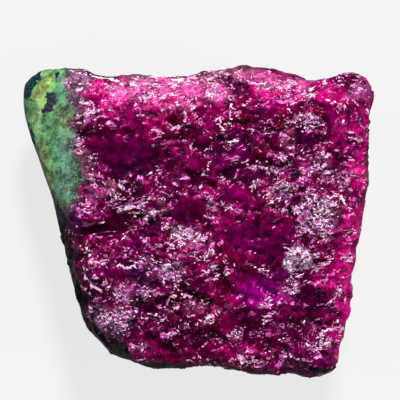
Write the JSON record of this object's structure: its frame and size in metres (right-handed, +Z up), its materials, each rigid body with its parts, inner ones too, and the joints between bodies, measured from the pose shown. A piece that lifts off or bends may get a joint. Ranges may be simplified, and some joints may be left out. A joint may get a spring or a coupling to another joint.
{
  "type": "rough ruby in zoisite",
  "caption": "Rough slab-like stone of magenta ruby with a smooth green zoisite flank, lying on its back with its broken broad face up.",
  "frame": {"origin": "Under the middle of the stone's bounding box, on the surface that it rests on.", "axes": "+X along the long way across the broad face, with the green zoisite flank at -X; +Y along the short way, towards the wider edge; +Z up, out of the broad face."},
  "size_m": [0.0358, 0.0318, 0.0149],
  "materials": {
    "ruby_in_zoisite": "gloss"
  },
  "bodies": {
    "root": {"stone": "ruby_in_zoisite"}
  },
  "joints": []
}
